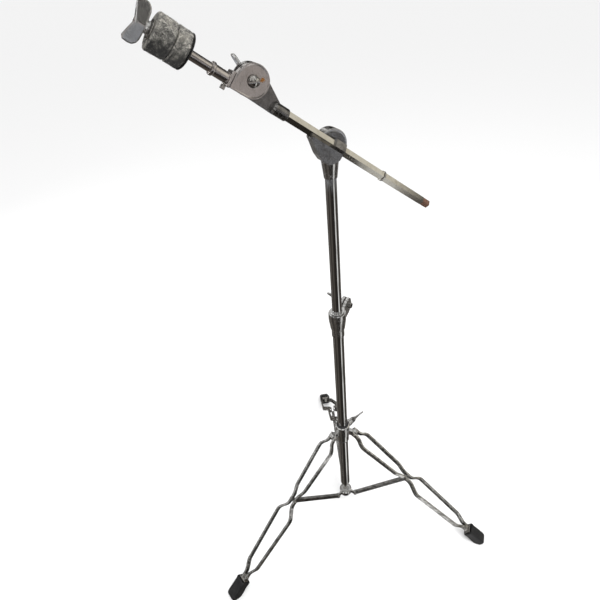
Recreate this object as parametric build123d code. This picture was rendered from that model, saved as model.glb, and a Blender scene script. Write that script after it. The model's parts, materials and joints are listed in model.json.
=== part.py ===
from build123d import *
import os
from math import atan2, cos, degrees, radians, sin, sqrt

os.makedirs("parts", exist_ok=True)

# Cymbal boom stand, millimetres, +Z up.
# It is drawn with the main tube on the Z axis and the floor at z = 0, then moved as one
# so that the middle of its box, at floor level, is the origin.

# --- fits ---
running = 0.05              # radial clearance of a shaft, pin or sliding tube
gap = 0.35                  # air between pieces that move past each other

# --- tubes ---
lower_tube_r = 11.1
lower_tube_bore = 9.8
lower_tube_foot = 76.0
lower_tube_top = 600.0
upper_tube_r = 9.525
upper_tube_bore = 8.3
upper_tube_foot = 400.0
upper_tube_top = 921.0
guide_length = 30.0
guide_flange = 4.0
guide_wall = 2.0
guide_clearance = 0.05

# --- tripod geometry, heights above the floor and distances from the tube axis ---
first_leg_azimuth = 219.4
leg_count = 3
leg_pivot_r = 29.7
leg_pivot_z = 275.2
foot_r = 308.0
foot_z = 28.0
crossing_share = 0.45       # of the way from the leg pivot to the foot
hub_pivot_r = 26.0
hub_pivot_z = 36.3
folded_leg_angle = 4.0      # from the vertical, with the tripod folded

leg_rise = leg_pivot_z - foot_z
leg_run = foot_r - leg_pivot_r
leg_length = sqrt(leg_rise ** 2 + leg_run ** 2)
leg_angle = degrees(atan2(leg_run, leg_rise))
crossing_x = crossing_share * leg_length
crossing_r = leg_pivot_r + crossing_share * leg_run
crossing_z = leg_pivot_z - crossing_share * leg_rise
brace_length = sqrt((crossing_r - hub_pivot_r) ** 2 + (crossing_z - hub_pivot_z) ** 2)
brace_angle = degrees(atan2(crossing_z - hub_pivot_z, crossing_r - hub_pivot_r))

# --- the folded tripod, from the same three lengths ---
folded_reach = leg_pivot_r + crossing_x * sin(radians(folded_leg_angle)) - hub_pivot_r
folded_rise = sqrt(brace_length ** 2 - folded_reach ** 2)
folded_brace_angle = degrees(atan2(folded_rise, folded_reach))
folded_pivot_z = hub_pivot_z + folded_rise + crossing_x * cos(radians(folded_leg_angle))
fold_travel = folded_pivot_z - leg_pivot_z

# --- leg straps: a channel section bent in and out of the leg's middle plane ---
strap_width = 10.0
strap_depth = 4.0
strap_wall = 1.3
strap_bend_r = 20.0
strap_overhang = 8.0        # past the leg pivot
upper_bow = 19.0
upper_bow_end = 13.0
lower_bow = 22.0
lower_bow_end = 15.0
lug_flat = 13.0             # half length of the straight stretch at each joint
crossing_flat = 12.5
foot_flat = 18.5
foot_rivet_back = 8.0       # rivet above the rubber foot, from the leg's end
upper_bow_from = 29.0       # along the leg, where each bow is widest and where it closes
upper_bow_to = 32.0
lower_bow_from = 35.0
lower_bow_to = 39.0
lug_thickness = 8.0
brace_width = 7.0
foot_core = 5.0             # thickness of the block between the strap ends
strap_tail = 24.0           # length of strap inside the rubber foot
core_back = 14.0            # block above the rubber foot

# --- braces ---
brace_depth = 8.0
brace_wall = 1.2
brace_web_setback = 5.8
brace_eye_r = 4.0

# --- rivets and pins ---
leg_rivet_r = 3.0
small_rivet_r = 2.5
rivet_head_r = 4.6
rivet_head_h = 1.8
rivet_head_top = 2.76

# --- brace hub and base stud ---
hub_r = 15.0
hub_low = 29.0
hub_high = 43.0
hub_bevel = 2.0
hub_neck_r = 8.0
hub_neck_top = 50.0
hub_tongue = 4.0
hub_tongue_r = 4.5
stud_r = 4.5
stud_low = 17.0
plug_flange_h = 3.0
plug_length = 20.0
hub_nut_h = 7.0
hub_nut_flats = 13.0

# --- rubber feet ---
foot_width = 27.0
foot_depth = 25.0
foot_corner = 6.0
ferrule_h = 3.0
ferrule_width = 20.0
ferrule_depth = 15.0
ferrule_bevel = 1.0
foot_mouth = 3.0            # bevel round the top of the rubber
foot_reach = 19.0           # rubber past the strap end, before the floor cuts it

# --- tripod collar ---
collar_r = 16.0
collar_top = 295.0
collar_low = 263.0
collar_skirt_r = 13.6
collar_skirt_low = 246.0
collar_bush_r = 12.3
collar_bevel = 2.0
collar_shoulder = 3.0
collar_lip = 2.0
collar_lip_r = 13.5
collar_lug_r = 7.0
tripod_bolt_azimuth = 39.4
tripod_bolt_z = 283.0
bolt_boss_r = 7.5
bolt_boss_reach = 24.0

# --- height clamp ---
clamp_skirt_low = 565.0
clamp_ring_z = 583.0
clamp_shoulder = 600.0
clamp_top = 622.0
clamp_r = 17.0
clamp_skirt_r = 12.6
clamp_ring_r = 13.8
clamp_ring_h = 2.0
clamp_waist_r = 14.4        # just above the ring
clamp_flare_z = 606.0
clamp_lip = 1.6
bush_r = 11.8
bush_top = 625.0
bush_lip_r = 14.0
ear_azimuth = 59.0
ear_reach = 36.0
ear_thickness = 5.5
ear_slot = 3.0
ear_low = 596.0
ear_bolt_z = 616.0
ear_corners = [(7, 588), (33, 600), (42, 607), (45, 617), (42, 629), (36, 633), (25, 629), (18, 622),
               (7, 622)]        # distance from the tube axis, height
clamp_bolt_spare = 3.0      # thread past the nut
crimp_pin_r = 1.6
crimp_pin_z = 575.0
crimp_hole_depth = 2.5
crimp_proud = 0.2           # dowel past the face of the casting

# --- wing bolts and nuts ---
bolt_r = 3.0
nut_flats = 10.0
nut_h = 5.0
wing_hub_r = 6.5
wing_hub_h = 12.0
wing_corners = [(0, 2), (16, 4), (30, 16), (30, 26), (26, 28), (0, 11)]   # reach, height
wing_thickness = 3.4
wing_tip_round = 1.0
wing_hub_taper = 0.8
tripod_wing_roll = 30.0
height_wing_roll = 62.0
boom_wing_roll = 10.0
tilter_wing_roll = 35.0
top_wing_roll = 90.0        # the top wings stand in the boom's vertical plane

# --- boom socket, at the top of the mast ---
socket_low = 895.0
socket_low_r = 10.9
socket_rim_z = 925.0
socket_rim_r = 14.4
socket_lip_h = 3.0
socket_groove_r = 11.6
socket_groove_top = 932.0
socket_pin_z = 901.0
socket_pin_r = 11.5         # casting radius at the dowels
boom_pivot_z = 950.0
boom_offset = 23.5          # rod axis in front of the tube axis
drum_r = 25.0
drum_front = 11.6
drum_back = 35.4
drum_round = 8.0
drum_front_round = 1.2
boom_bolt_r = 4.0
boom_bolt_reach = 24.0      # past the back of the drum
boom_bolt_root = 8.7        # where the thread leaves the eye
boom_washer_r = 8.0
boom_washer_h = 1.6

# --- boom ---
boom_azimuth = -151.4
boom_elevation = 38.1
hex_flats = 14.0
spigot_r = 6.0
boom_back_end = -213.0
boom_cap_length = 18.0
boom_cap_flats = 13.44
boom_cap_bevel = 1.2
boom_cap_seat = 1.5
boom_front_end = 115.0
stop_ring_x = -104.5
stop_ring_r = 8.8
stop_ring_w = 2.4
stop_groove_w = 1.4
stop_groove_depth = 0.6
holder_front = -10.0
holder_back = 11.25
holder_drum_front = 8.2
holder_drum_r = 20.5
holder_corners = [(50, -9), (42, -14), (27, -24), (15, -28.5), (3, -28.5), (-6, -21)]
holder_tail = -10.0
holder_tail_low = -14.0
holder_toe = 50.0
holder_top = -5.0           # inside the rod, before its way is cut
holder_round = 1.2
band_from = -10.0
band_to = 10.0
band_flats = 21.0
eye_flats = 18.4
eye_w = 7.0

# --- tilter, in the boom's frame: x along the boom, y up, z away from the rod's open side ---
sleeve_r = 8.8
sleeve_from = 97.0
sleeve_to = 121.0
sleeve_bevel = 0.8
sleeve_shoulder = 3.0
base_arm = [(112, 8.8), (147.5, 28.5), (162.5, 13.5), (166.5, -7), (156.5, -7.4), (112, -8.8)]
tilter_x = 162.5
tilter_y = 13.5
tilter_r = 21.5
tilter_plate = 10.0
disc_half = 0.75
disc_r = 14.0
tilter_bolt_r = 4.0
tilter_bolt_reach = 19.0    # past the back half
head_drop = [(186, 10.5), (168.5, 33.8), (162.5, 13.5), (154.5, -6.2), (168.5, -7), (186, -4.5)]
dome_r = 8.2
dome_h = 6.2
flange_x = 186.0
flange_t = 4.5
flange_low = -9.5
flange_high = 11.5
flange_half = 10.0
flange_round = 3.0
neck_r = 7.2
neck_to = 214.0
neck_ring_r = 8.6
neck_ring_w = 4.0
neck_ring_bevel = 1.0
set_screw_x = 190.5
set_screw_reach = 14.5
set_screw_r = 2.2
set_screw_head = 5.0

# --- cymbal post, along the boom's own axis ---
post_r = 6.0
thread_r = 4.0
post_from = 187.0
seat_x = 244.0
seat_t = 3.0
seat_r = 22.5
seat_boss_r = 11.0
seat_dish = 0.6
seat_edge = 2.0
felt_r = 22.3
felt_round = 1.5
lower_felt_h = 17.5
upper_felt_h = 22.5
post_sleeve_r = 5.6
post_sleeve_length = 36.0
top_washer_r = 12.0
top_washer_h = 1.8
post_tip_x = 306.0
tip_round = 3.0
tip_r = 2.4
top_wing_corners = [(0, 4), (16, 4), (24, 9), (24.4, 14), (23.4, 19.8), (20, 21.5), (0, 15.5)]
top_wing_hub = [(0, 0), (7.5, 0), (7.5, 2.5), (6.2, 4), (6.2, 12), (0, 12)]
top_wing_thickness = 3.2

on_base = (Align.CENTER, Align.CENTER, Align.MIN)


# --- shared shapes ---

def pin(r, low, high):
    """A round bar along Z."""
    return Pos(0, 0, low) * Cylinder(r, high - low, align=on_base)


def ring(r, bore, low, high):
    return pin(r, low, high) - pin(bore, low, high)


def turned(*outline):
    """A solid of revolution about Z from (radius, height) points."""
    return revolve(Plane.XZ * make_face(Polyline(*outline, close=True)), Axis.Z)


def hexagon(flats, low, high):
    return Pos(0, 0, low) * extrude(RegularPolygon(flats / 2, 6, major_radius=False), high - low)


def rivet(r, low, high, both=True):
    """A shank from low to high with a low head outside its upper end, or both ends."""
    head = Cone(rivet_head_r, rivet_head_top, rivet_head_h, align=on_base)
    body = pin(r, low, high) + Pos(0, 0, high) * head
    if both:
        body += Pos(0, 0, low) * Rot(180, 0, 0) * head
    return body


def along_y(shape):
    """Turn a shape made along Z so that it lies along Y."""
    return Rot(-90, 0, 0) * shape


def along_x(shape):
    """Turn a shape made along Z so that it lies along X."""
    return Rot(0, 90, 0) * shape


def azimuth(k):
    return first_leg_azimuth + k * 360 / leg_count


def outward(angle):
    """The frame of a vertical plane through the tube axis: x outward, z up."""
    return Rot(0, 0, angle)


def leg_frame(k):
    """x down the leg from its pivot, y across it, z square to both."""
    tilt = 90 - leg_angle
    return outward(azimuth(k)) * Pos(leg_pivot_r, 0, leg_pivot_z) * Rot(0, tilt, 0)


def brace_frame(k):
    """x up the brace from the hub pin, y across it."""
    return outward(azimuth(k)) * Pos(hub_pivot_r, 0, hub_pivot_z) * Rot(0, -brace_angle, 0)


def boom_frame():
    """Origin where the boom passes the tube, x up the boom, z towards the tube."""
    up = radians(boom_elevation)
    turn = radians(boom_azimuth)
    along = Vector(cos(up) * cos(turn), cos(up) * sin(turn), sin(up))
    side = Vector(sin(turn), -cos(turn), 0)
    toward_tube = side if side.Y > 0 else -side
    origin = Vector(0, 0, boom_pivot_z) - toward_tube * boom_offset
    return Plane(origin=origin, x_dir=along, z_dir=toward_tube).location


def post_frame():
    """Z along the cymbal post, in the boom's frame."""
    return boom_frame() * Rot(0, 90, 0)


def wings(corners, thickness):
    """Two flat wings rising outward along X and -X, from (reach, height) corners."""
    blade = extrude(Plane.XZ * make_face(Polyline(*corners, close=True)), thickness / 2, both=True)
    blade = fillet(blade.edges().filter_by(Axis.Y).sort_by(Axis.X)[-3:], wing_tip_round)
    return blade + Rot(0, 0, 180) * blade


def wing_head():
    """Hub and wings of a wing bolt, standing on z = 0."""
    hub = turned((0, 0), (wing_hub_r, 0), (wing_hub_r, wing_hub_h / 2),
                 (wing_hub_r * wing_hub_taper, wing_hub_h), (0, wing_hub_h))
    return hub + wings(wing_corners, wing_thickness)


def wing_nut(bore):
    return wing_head() - pin(bore + running, -1, wing_hub_h * 2)


# --- base ---

def lower_tube():
    return ring(lower_tube_r, lower_tube_bore, lower_tube_foot, lower_tube_top)


def base_stud():
    flange_low = lower_tube_foot - plug_flange_h
    return (pin(stud_r, stud_low, flange_low) + pin(lower_tube_r, flange_low, lower_tube_foot)
            + pin(lower_tube_bore, lower_tube_foot, lower_tube_foot + plug_length))


def brace_hub():
    rim = hub_r - hub_bevel
    body = turned((0, hub_low), (rim, hub_low), (hub_r, hub_low + hub_bevel), (hub_r, hub_high - hub_bevel),
                  (rim, hub_high), (hub_neck_r, hub_high), (hub_neck_r, hub_neck_top), (0, hub_neck_top))
    for k in range(leg_count):
        arm = Pos(hub_pivot_r / 2, 0, hub_pivot_z) * Box(hub_pivot_r, hub_tongue, 2 * hub_tongue_r)
        eye = Pos(hub_pivot_r, 0, hub_pivot_z) * along_y(pin(hub_tongue_r, -hub_tongue / 2, hub_tongue / 2))
        hole = Pos(hub_pivot_r, 0, hub_pivot_z) * along_y(pin(small_rivet_r, -hub_r, hub_r))
        body += outward(azimuth(k)) * (arm + eye)
        body -= outward(azimuth(k)) * hole
    return body - pin(stud_r, 0, hub_neck_top)


def hub_nut():
    return hexagon(hub_nut_flats, hub_low - hub_nut_h, hub_low) - pin(stud_r, 0, hub_low)


def hub_pins():
    half = brace_width / 2 + gap
    one = Pos(hub_pivot_r, 0, hub_pivot_z) * along_y(rivet(small_rivet_r, -half, half))
    return Compound(children=[outward(azimuth(k)) * one for k in range(leg_count)])


def brace(k):
    """A channel with its web on top, cut back at both ends to leave two eyes."""
    inner = brace_width - 2 * brace_wall
    span = Pos(brace_length / 2, 0, 0) * Box(brace_length, brace_width, brace_depth)
    eyes = along_y(pin(brace_eye_r, -brace_width / 2, brace_width / 2))
    body = span + eyes + Pos(brace_length, 0, 0) * eyes
    trough = Box(brace_length * 2, inner, brace_depth)
    body -= Pos(brace_length / 2, 0, -brace_wall) * trough
    for x in (0, brace_length):
        body -= Pos(x, 0, 0) * Box(2 * brace_web_setback, inner, 2 * brace_depth)
        body -= Pos(x, 0, 0) * along_y(pin(small_rivet_r + running, -brace_width, brace_width))
    return brace_frame(k) * body


# --- tripod ---

def strap_path(side):
    """Middle line of one strap, bowed out twice between its three joints."""
    at_lug = lug_thickness / 2 + gap + strap_depth / 2
    at_brace = brace_width / 2 + gap + strap_depth / 2
    at_foot = foot_core / 2 + strap_depth / 2
    cross = crossing_x
    shape = [(-strap_overhang, at_lug), (lug_flat, at_lug), (upper_bow_from, upper_bow),
             (cross - upper_bow_to, upper_bow_end), (cross - crossing_flat, at_brace),
             (cross + crossing_flat, at_brace), (cross + lower_bow_from, lower_bow),
             (leg_length - lower_bow_to, lower_bow_end), (leg_length - foot_flat, at_foot),
             (leg_length + strap_tail, at_foot)]
    return FilletPolyline(*[(x, side * y) for x, y in shape], radius=strap_bend_r)


def strap(k, side):
    path = strap_path(side)
    start = path @ 0
    outer = Rectangle(strap_depth, strap_width)
    hollow = Pos(-side * strap_wall, 0) * Rectangle(strap_depth, strap_width - 2 * strap_wall)
    profile = Plane(origin=start, x_dir=(0, 1, 0), z_dir=(1, 0, 0)) * (outer - hollow)
    body = sweep(profile, path)
    last = leg_length - foot_rivet_back
    for x, r in ((0, leg_rivet_r), (crossing_x, small_rivet_r), (last, small_rivet_r)):
        body -= Pos(x, 0, 0) * along_y(pin(r, -lower_bow * 2, lower_bow * 2))
    return leg_frame(k) * body


def leg_rivets(k):
    """Pivot rivet, two stub rivets at the crossing and the rivet above the foot."""
    lug_face = lug_thickness / 2 + gap + strap_depth
    brace_face = brace_width / 2 + gap + strap_depth
    foot_face = foot_core / 2 + strap_depth
    stub = rivet(small_rivet_r, brace_face - strap_wall, brace_face, both=False)
    pieces = [along_y(rivet(leg_rivet_r, -lug_face, lug_face)),
              Pos(crossing_x, 0, 0) * along_y(stub),
              Pos(crossing_x, 0, 0) * Rot(180, 0, 0) * along_y(stub),
              Pos(leg_length - foot_rivet_back, 0, 0) * along_y(rivet(small_rivet_r, -foot_face, foot_face))]
    return leg_frame(k) * Compound(children=pieces)


def leg_core(k):
    """Flat block between the two strap ends."""
    low = leg_length - core_back
    high = leg_length + strap_tail
    block = Pos((low + high) / 2, 0, 0) * Box(high - low, foot_core, strap_width)
    block -= Pos(leg_length - foot_rivet_back, 0, 0) * along_y(pin(small_rivet_r, -foot_core, foot_core))
    return leg_frame(k) * block


def strap_slot():
    return Pos(leg_length, 0, 0) * Box(2 * strap_tail, foot_core + 2 * strap_depth, strap_width)


def ferrule(k):
    plate = Pos(leg_length - ferrule_h / 2, 0, 0) * Box(ferrule_h, ferrule_width, ferrule_depth)
    plate = chamfer(plate.faces().sort_by(Axis.X)[0].edges(), ferrule_bevel)
    return leg_frame(k) * (plate - strap_slot())


def rubber_foot(k):
    """A rounded block over the strap ends, cut flat by the floor."""
    length = strap_tail + foot_reach
    block = Pos(leg_length + length / 2, 0, 0) * Box(length, foot_width, foot_depth)
    block = fillet(block.edges().filter_by(Axis.X), foot_corner)
    block = chamfer(block.faces().sort_by(Axis.X)[0].edges(), foot_mouth)
    placed = leg_frame(k) * (block - strap_slot())
    floor = Pos(0, 0, -foot_r) * Box(4 * foot_r, 4 * foot_r, 2 * foot_r)
    return placed - floor


def tripod_collar():
    body = turned((0, collar_skirt_low), (collar_skirt_r, collar_skirt_low), (collar_skirt_r, collar_low),
                  (collar_r, collar_low + collar_shoulder), (collar_r, collar_top - collar_bevel),
                  (collar_r - collar_bevel, collar_top), (0, collar_top))
    for k in range(leg_count):
        root = Pos(leg_pivot_r / 2, 0, leg_pivot_z) * Box(leg_pivot_r, lug_thickness, 2 * collar_lug_r)
        eye = along_y(pin(collar_lug_r, -lug_thickness / 2, lug_thickness / 2))
        hole = along_y(pin(leg_rivet_r + running, -collar_r, collar_r))
        body += outward(azimuth(k)) * (root + Pos(leg_pivot_r, 0, leg_pivot_z) * eye)
        body -= outward(azimuth(k)) * Pos(leg_pivot_r, 0, leg_pivot_z) * hole
    boss = Pos(0, 0, tripod_bolt_z) * along_x(pin(bolt_boss_r, 0, bolt_boss_reach))
    hole = Pos(0, 0, tripod_bolt_z) * along_x(pin(bolt_r + running, 0, bolt_boss_reach * 2))
    body += outward(tripod_bolt_azimuth) * boss
    return body - outward(tripod_bolt_azimuth) * hole - pin(collar_bush_r, 0, collar_top * 2)


def collar_bush():
    low = collar_skirt_low - collar_lip
    high = collar_top + collar_lip
    body = ring(collar_bush_r, lower_tube_r + running, low, high)
    for z in (low, collar_top):
        body += ring(collar_lip_r, lower_tube_r + running, z, z + collar_lip)
    hole = Pos(0, 0, tripod_bolt_z) * along_x(pin(bolt_r + running, 0, collar_r * 2))
    return body - outward(tripod_bolt_azimuth) * hole


def tripod_wing_bolt():
    tip = lower_tube_r + gap
    shank = pin(bolt_r, tip - bolt_boss_reach - gap, 0)
    body = wing_head() + shank
    place = outward(tripod_bolt_azimuth) * Pos(bolt_boss_reach + gap, 0, tripod_bolt_z)
    return place * along_x(Rot(0, 0, tripod_wing_roll) * body)


# --- height clamp ---

def height_clamp():
    shell = turned((0, clamp_skirt_low), (clamp_skirt_r, clamp_skirt_low),
                   (clamp_skirt_r, clamp_ring_z - clamp_ring_h / 2), (clamp_ring_r, clamp_ring_z),
                   (clamp_waist_r, clamp_ring_z + clamp_ring_h),
                   (clamp_r, clamp_flare_z), (clamp_r, clamp_top - clamp_lip),
                   (clamp_r - clamp_lip / 2, clamp_top), (0, clamp_top))
    half = ear_slot / 2 + ear_thickness
    plate = make_face(Polyline(*ear_corners, close=True))
    ears = extrude(Plane.XZ * plate, half, both=True)
    slot = Pos(ear_reach, 0, clamp_top) * Box(2 * ear_reach, ear_slot, 2 * (clamp_top - ear_low))
    hole = Pos(ear_reach, 0, ear_bolt_z) * along_y(pin(bolt_r + running, -ear_reach, ear_reach))
    body = shell + outward(ear_azimuth) * ears
    body -= outward(ear_azimuth) * (slot + hole)
    body -= pin(lower_tube_r, 0, clamp_shoulder)
    body -= pin(bush_r + running, clamp_shoulder, clamp_top * 2)
    return body - crimp_holes(crimp_pin_z, clamp_skirt_r)


def crimp_holes(z, r):
    hole = Pos(0, 0, z) * along_x(pin(crimp_pin_r, r - crimp_hole_depth, r * 2))
    return outward(-90) * hole + outward(90) * hole


def crimp_pins(z, r, depth):
    """Two short dowels, pressed through the casting into the tube wall."""
    one = Pos(0, 0, z) * along_x(pin(crimp_pin_r, r - depth, r + crimp_proud))
    return Compound(children=[outward(-90) * one, outward(90) * one])


def height_pins():
    return crimp_pins(crimp_pin_z, clamp_skirt_r, clamp_skirt_r - lower_tube_r)


def height_bush():
    lip = ring(bush_lip_r, upper_tube_r + running, clamp_top + gap, bush_top)
    sleeve = ring(bush_r, upper_tube_r + running, clamp_shoulder + gap, bush_top)
    return lip + sleeve


def ear_frame():
    """Z along the clamp bolt, from the ears' middle towards its wing."""
    return outward(ear_azimuth) * Pos(ear_reach, 0, ear_bolt_z) * Rot(-90, 0, 0)


def height_wing_bolt():
    face = ear_slot / 2 + ear_thickness
    shank = pin(bolt_r, -face - nut_h - clamp_bolt_spare, face + gap)
    return ear_frame() * (shank + Pos(0, 0, face + gap) * Rot(0, 0, height_wing_roll) * wing_head())


def height_nut():
    face = ear_slot / 2 + ear_thickness
    return ear_frame() * (hexagon(nut_flats, -face - nut_h, -face) - pin(bolt_r + running, -face * 3, 0))


# --- mast ---

def upper_tube():
    return ring(upper_tube_r, upper_tube_bore, upper_tube_foot, upper_tube_top)


def upper_guide():
    """Plastic ring on the foot of the mast that centres it in the lower tube."""
    low = upper_tube_foot - guide_flange
    bore = upper_tube_bore - guide_wall
    flange = ring(lower_tube_bore - guide_clearance, bore, low, upper_tube_foot)
    return flange + ring(upper_tube_bore, bore, low, upper_tube_foot + guide_length)


def boom_socket():
    """Tapered ferrule on the tube, then the drum that carries the boom's tilt."""
    rim = socket_rim_z
    stem = turned((0, socket_low), (socket_low_r, socket_low), (socket_rim_r, rim),
                  (socket_rim_r, rim + socket_lip_h), (socket_groove_r, rim + socket_lip_h),
                  (socket_groove_r, socket_groove_top), (0, socket_groove_top))
    drum = pin(drum_r, drum_front, drum_back)
    drum = fillet(drum.faces().sort_by(Axis.Z)[-1].edges(), drum_round)
    drum = fillet(drum.faces().sort_by(Axis.Z)[0].edges(), drum_front_round)
    turn = Location(boom_axis_plane())
    web = Box(2 * socket_groove_r, 2 * (drum_back - boom_offset), boom_pivot_z - rim, align=on_base)
    body = stem + outward(boom_azimuth) * Pos(0, 0, rim + socket_lip_h) * web + turn * drum
    body -= pin(upper_tube_r, 0, upper_tube_top)
    body -= turn * pin(boom_bolt_r + running, -drum_back, drum_back * 2)
    return body - crimp_holes(socket_pin_z, socket_pin_r)


def boom_axis_plane():
    """Z along the boom's tilt axis, x level, origin where the boom passes the tube."""
    location = boom_frame()
    along = location.x_axis.direction
    across = location.z_axis.direction
    level = Vector(along.X, along.Y, 0)
    return Plane(origin=location.position, x_dir=level, z_dir=across)


def socket_pins():
    return crimp_pins(socket_pin_z, socket_pin_r, socket_pin_r - upper_tube_r)


# --- boom clamp ---

def hex_bar(low, high, flats):
    """Hexagonal bar along the boom's axis, with flats above and below."""
    return along_x(hexagon(flats, low, high))


def rod_way():
    return hex_bar(-holder_toe * 2, holder_toe * 2, hex_flats + 2 * running)


def boom_holder():
    """Saddle under the rod, a band round it, and the half drum behind."""
    outline = Polyline((holder_tail, holder_top), (holder_toe, holder_top), *holder_corners,
                       (holder_tail, holder_tail_low), close=True)
    saddle = extrude(make_face(outline), holder_drum_front - holder_front)
    body = Pos(0, 0, holder_front) * fillet(saddle.edges().filter_by(Axis.Z), holder_round)
    body += hex_bar(band_from, band_to, band_flats) & pin(drum_r * 2, -drum_r, holder_back)
    body += pin(holder_drum_r, holder_drum_front, holder_back)
    body -= hex_bar(-eye_w / 2 - running, eye_w / 2 + running, eye_flats + 2 * running)
    body -= pin(boom_bolt_r, 0, drum_back)
    return boom_frame() * (body - rod_way())


def boom_bolt():
    """Eye bolt: the eye holds the rod in its band, the thread takes the wing nut."""
    eye = hex_bar(-eye_w / 2, eye_w / 2, eye_flats) - rod_way()
    return boom_frame() * (eye + pin(boom_bolt_r, boom_bolt_root, drum_back + boom_bolt_reach))


def boom_washer():
    low = drum_back + gap
    return boom_frame() * ring(boom_washer_r, boom_bolt_r, low, low + boom_washer_h)


def boom_wing_nut():
    low = drum_back + 2 * gap + boom_washer_h
    return boom_frame() * Pos(0, 0, low) * Rot(0, 0, boom_wing_roll) * wing_nut(boom_bolt_r)


# --- boom rod and tilter ---

def boom_rod():
    body = hex_bar(boom_back_end + boom_cap_seat, sleeve_from, hex_flats)
    body += along_x(pin(spigot_r, sleeve_from, boom_front_end))
    half = stop_groove_w / 2
    groove = along_x(ring(hex_flats, hex_flats / 2 - stop_groove_depth, -half, half))
    return boom_frame() * (body - Pos(stop_ring_x, 0, 0) * groove)


def boom_end_cap():
    low = boom_back_end - boom_cap_length
    body = hex_bar(low, boom_back_end + boom_cap_seat, boom_cap_flats)
    body = chamfer(body.faces().sort_by(Axis.X)[0].edges(), boom_cap_bevel)
    return boom_frame() * body


def boom_stop_ring():
    half = stop_ring_w / 2
    outer = along_x(ring(stop_ring_r, hex_flats / 2 / cos(radians(30)), -half, half))
    groove = stop_groove_w / 2
    inner = along_x(ring(stop_ring_r, hex_flats / 2 - stop_groove_depth, -groove, groove))
    return boom_frame() * Pos(stop_ring_x, 0, 0) * (outer + inner)


def tilter_base():
    """Sleeve on the end of the boom rod and the round half behind the joint."""
    sleeve = along_x(turned((0, sleeve_from), (sleeve_r - sleeve_bevel, sleeve_from),
                            (sleeve_r, sleeve_from + sleeve_bevel), (sleeve_r, sleeve_to - sleeve_shoulder),
                            (sleeve_r - sleeve_shoulder, sleeve_to), (0, sleeve_to)))
    low = disc_half + gap
    high = tilter_plate
    arm = make_face(Polyline(*base_arm, close=True))
    plate = Pos(0, 0, low) * extrude(arm, high - low) + Pos(tilter_x, tilter_y, 0) * pin(tilter_r, low, high)
    body = sleeve + plate
    body -= along_x(pin(spigot_r, 0, boom_front_end))
    return boom_frame() * (body - tilter_hole(0))


def tilter_hole(play):
    return Pos(tilter_x, tilter_y, 0) * pin(tilter_bolt_r + play, -3 * tilter_plate, 3 * tilter_plate)


def tilter_disc():
    body = Pos(tilter_x, tilter_y, 0) * pin(disc_r, -disc_half, disc_half + gap)
    return boom_frame() * (body - tilter_hole(0))


def tilter_head():
    """Teardrop plate on the open side, flange and neck that hold the cymbal post."""
    low = disc_half + gap
    drop = make_face(Polyline(*head_drop, close=True))
    plate = extrude(drop, tilter_plate - low)
    plate += Pos(tilter_x, tilter_y, 0) * Cylinder(tilter_r, tilter_plate - low, align=on_base)
    plate = Pos(0, 0, -tilter_plate) * plate
    flange = Box(flange_t, flange_high - flange_low, 2 * flange_half)
    flange = fillet(flange.edges().filter_by(Axis.X), flange_round)
    flange = Pos(flange_x + flange_t / 2, (flange_low + flange_high) / 2, 0) * flange
    neck_end = neck_to - neck_ring_w
    neck = along_x(turned((0, flange_x), (neck_r, flange_x), (neck_r, neck_end - neck_ring_bevel),
                          (neck_ring_r, neck_end), (neck_ring_r, neck_to), (0, neck_to)))
    body = plate + flange + neck
    body -= along_x(pin(post_r, post_from, neck_to * 2))
    body -= Pos(set_screw_x, 0, 0) * Rot(90, 0, 0) * pin(set_screw_r, 0, 2 * neck_r)
    return boom_frame() * (body - tilter_hole(running))


def tilter_bolt():
    """Domed carriage bolt through both halves."""
    face = tilter_plate + gap
    sphere_r = (dome_r ** 2 + dome_h ** 2) / (2 * dome_h)
    dome = Pos(0, 0, -face - dome_h + sphere_r) * Sphere(sphere_r) & pin(dome_r * 2, -face - dome_h, -face)
    shank = pin(tilter_bolt_r, -face, tilter_plate + tilter_bolt_reach)
    return boom_frame() * Pos(tilter_x, tilter_y, 0) * (dome + shank)


def tilter_wing_nut():
    place = boom_frame() * Pos(tilter_x, tilter_y, tilter_plate + gap)
    return place * Rot(0, 0, tilter_wing_roll) * wing_nut(tilter_bolt_r)


def set_screw():
    """Square headed screw that holds the post in the neck."""
    head = Box(set_screw_head, set_screw_head, set_screw_head, align=on_base)
    body = pin(set_screw_r, post_r, set_screw_reach) + Pos(0, 0, set_screw_reach - set_screw_head) * head
    return boom_frame() * Pos(set_screw_x, 0, 0) * Rot(90, 0, 0) * body


# --- cymbal post ---

def cymbal_post():
    return post_frame() * turned((0, post_from), (post_r, post_from), (post_r, seat_x), (thread_r, seat_x),
                                 (thread_r, post_tip_x - tip_round), (tip_r, post_tip_x), (0, post_tip_x))


def seat_cup():
    low = seat_x
    rim = seat_x + seat_t
    return post_frame() * turned((thread_r, low), (seat_boss_r, low), (seat_r - seat_edge, low + seat_dish),
                                 (seat_r, low + seat_edge), (seat_r, rim), (thread_r, rim))


def post_sleeve():
    low = seat_x + seat_t
    return post_frame() * ring(post_sleeve_r, thread_r, low, low + post_sleeve_length)


def felt(low, high, bore):
    body = ring(felt_r, bore, low, high)
    return fillet(body.edges().filter_by(GeomType.CIRCLE).group_by(SortBy.RADIUS)[-1], felt_round)


def lower_felt_top():
    return seat_x + seat_t + lower_felt_h


def upper_felt_top():
    return lower_felt_top() + gap + upper_felt_h


def lower_felt():
    return post_frame() * felt(seat_x + seat_t, lower_felt_top(), post_sleeve_r)


def upper_felt():
    return post_frame() * felt(lower_felt_top() + gap, upper_felt_top(), post_sleeve_r + gap)


def top_washer():
    low = upper_felt_top()
    return post_frame() * ring(top_washer_r, thread_r + running, low, low + top_washer_h)


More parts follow.
